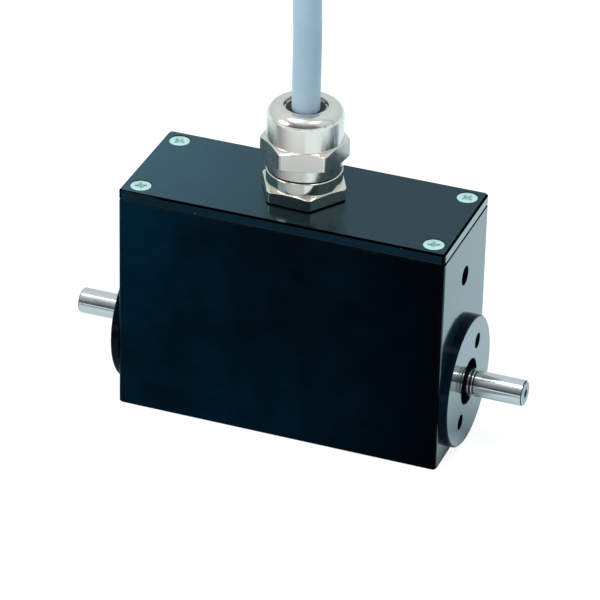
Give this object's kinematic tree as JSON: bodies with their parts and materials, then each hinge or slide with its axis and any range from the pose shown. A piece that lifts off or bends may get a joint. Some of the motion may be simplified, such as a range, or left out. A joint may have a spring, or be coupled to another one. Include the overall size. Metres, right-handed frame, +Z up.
{
  "type": "rotary torque sensor",
  "caption": "Upright block housing with a measuring shaft through it in ball bearings, round flanges at both ends and a cable that leaves through a gland on the lid.",
  "frame": {"origin": "on the base plane under the middle of the shaft, which is also under the middle of the housing", "axes": "+X along the shaft towards the right-hand end, +Y across the housing away from the camera, +Z up through the lid"},
  "size_m": [0.2383, 0.1163, 0.1737],
  "materials": {
    "dark_anodised": "dark blue-black anodised, milled and smooth",
    "black_rubber": "smooth",
    "zinc_steel": "bright zinc plated",
    "spring_steel": "plain rolled",
    "ground_steel": "ground",
    "bearing_steel": "polished",
    "gauge_foil": "amber film with metal foil",
    "board_laminate": "solder resist",
    "chip_resin": "moulded resin",
    "spacer_aluminium": "turned",
    "red_insulation": "smooth",
    "plain_brass": "turned",
    "capacitor_sleeve": "shrunk sleeve",
    "green_plastic": "moulded",
    "core_insulation": "smooth, one colour per core",
    "nickelled_brass": "nickel plated",
    "pale_plastic": "moulded nylon",
    "cable_sheath": "smooth grey-blue sheath",
    "black_plastic": "moulded nylon",
    "tinned_copper": "tinned",
    "soft_iron": "sintered",
    "copper_wire": "enamelled copper wire, wound"
  },
  "bodies": {
    "housing": {"housing": "dark_anodised", "lid": "dark_anodised", "lid_gasket": "black_rubber", "lid_screws": "zinc_steel", "bearing_cover_left": "dark_anodised", "bearing_cover_right": "dark_anodised", "bearing_left_outer_ring": "bearing_steel", "bearing_left_shield": "spring_steel", "bearing_right_outer_ring": "bearing_steel", "bearing_right_shield": "spring_steel", "wave_washers": "spring_steel", "stator_core_left": "soft_iron", "stator_core_right": "soft_iron", "stator_winding_left": "copper_wire", "stator_winding_right": "copper_wire", "stator_spacer": "spacer_aluminium", "stator_leads": "red_insulation", "circuit_board": "board_laminate", "board_standoffs": "plain_brass", "board_screws": "zinc_steel", "board_chips": "chip_resin", "board_capacitors": "capacitor_sleeve", "terminal_block": "green_plastic", "terminal_screws": "zinc_steel", "cable_cores": "core_insulation", "gland_body": "nickelled_brass", "gland_gasket": "black_rubber", "gland_locknut": "nickelled_brass", "gland_claw": "pale_plastic", "gland_seal": "black_rubber", "gland_cap_nut": "nickelled_brass", "cable": "cable_sheath", "cable_coil": "cable_sheath", "cable_ties": "black_plastic", "cable_tail": "cable_sheath", "flying_leads": "core_insulation", "lead_ferrules": "tinned_copper"},
    "rotor": {"shaft": "ground_steel", "strain_gauges": "gauge_foil", "rotor_board": "board_laminate", "rotor_chips": "chip_resin", "rotor_core_left": "soft_iron", "rotor_core_right": "soft_iron", "rotor_winding_left": "copper_wire", "rotor_winding_right": "copper_wire", "bearing_left_inner_ring": "bearing_steel", "bearing_right_inner_ring": "bearing_steel"},
    "ball_set_left": {"bearing_left_balls": "bearing_steel", "bearing_left_cage": "plain_brass"},
    "ball_set_right": {"bearing_right_balls": "bearing_steel", "bearing_right_cage": "plain_brass"}
  },
  "joints": [
    {"name": "shaft_spin", "type": "hinge", "parent": "housing", "child": "rotor", "pos_m": [0, 0, 0.018], "axis": [1, 0, 0], "continuous": true},
    {"name": "ball_set_left_spin", "type": "hinge", "parent": "housing", "child": "ball_set_left", "pos_m": [-0.0427, 0, 0.018], "axis": [1, 0, 0], "continuous": true},
    {"name": "ball_set_right_spin", "type": "hinge", "parent": "housing", "child": "ball_set_right", "pos_m": [0.0427, 0, 0.018], "axis": [1, 0, 0], "continuous": true}
  ],
  "couplings": [
    {"joint": "ball_set_left_spin", "follows": "shaft_spin", "ratio": 0.4008},
    {"joint": "ball_set_right_spin", "follows": "shaft_spin", "ratio": 0.4008}
  ]
}
